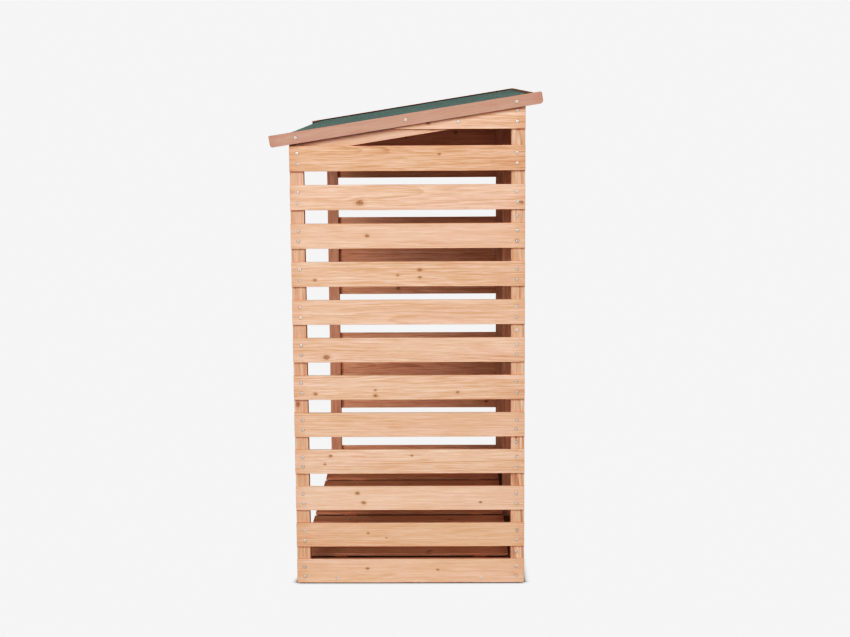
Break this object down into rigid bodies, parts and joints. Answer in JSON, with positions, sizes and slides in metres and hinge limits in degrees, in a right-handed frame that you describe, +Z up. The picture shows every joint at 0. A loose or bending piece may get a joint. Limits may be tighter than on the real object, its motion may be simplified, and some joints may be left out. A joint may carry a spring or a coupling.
{
  "type": "log store",
  "caption": "Open-fronted timber log store with slatted sides, back and floor, and a felted single-pitch roof that keeps stacked firewood dry.",
  "frame": {"origin": "bottom centre of the whole object's box, on the ground", "axes": "+X along the width, +Y from the open front to the back, +Z up"},
  "size_m": [1.5256, 0.8106, 1.4998],
  "materials": {
    "slat_timber": "planed, stained softwood with fine lengthwise grain and small knots",
    "frame_timber": "planed, stained softwood, a little darker than the slats",
    "barge_timber": "planed, stained softwood, pinker and darker than the slats",
    "roofing_felt": "bitumen felt with green-grey mineral granules, matt"
  },
  "bodies": {
    "root": {"right_front_post": "frame_timber", "right_back_post": "frame_timber", "right_top_rail": "frame_timber", "right_slat_01": "slat_timber", "right_slat_02": "slat_timber", "right_slat_03": "slat_timber", "right_slat_04": "slat_timber", "right_slat_05": "slat_timber", "right_slat_06": "slat_timber", "right_slat_07": "slat_timber", "right_slat_08": "slat_timber", "right_slat_09": "slat_timber", "right_slat_10": "slat_timber", "right_slat_11": "slat_timber", "right_slat_12": "slat_timber", "right_wedge_slat": "slat_timber", "left_front_post": "frame_timber", "left_back_post": "frame_timber", "left_top_rail": "frame_timber", "left_slat_01": "slat_timber", "left_slat_02": "slat_timber", "left_slat_03": "slat_timber", "left_slat_04": "slat_timber", "left_slat_05": "slat_timber", "left_slat_06": "slat_timber", "left_slat_07": "slat_timber", "left_slat_08": "slat_timber", "left_slat_09": "slat_timber", "left_slat_10": "slat_timber", "left_slat_11": "slat_timber", "left_slat_12": "slat_timber", "left_wedge_slat": "slat_timber", "back_left_post": "frame_timber", "back_middle_post": "frame_timber", "back_right_post": "frame_timber", "back_slat_01": "slat_timber", "back_slat_02": "slat_timber", "back_slat_03": "slat_timber", "back_slat_04": "slat_timber", "back_slat_05": "slat_timber", "back_slat_06": "slat_timber", "back_slat_07": "slat_timber", "back_slat_08": "slat_timber", "back_slat_09": "slat_timber", "back_slat_10": "slat_timber", "back_slat_11": "slat_timber", "back_slat_12": "slat_timber", "back_slat_13": "slat_timber", "floor_panel": "slat_timber", "front_header": "frame_timber", "middle_rafter": "frame_timber", "roof_boards": "frame_timber", "roof_felt": "roofing_felt", "barge_board_right": "barge_timber", "barge_board_left": "barge_timber", "rear_fascia": "barge_timber", "front_eave_batten": "barge_timber"}
  },
  "joints": []
}
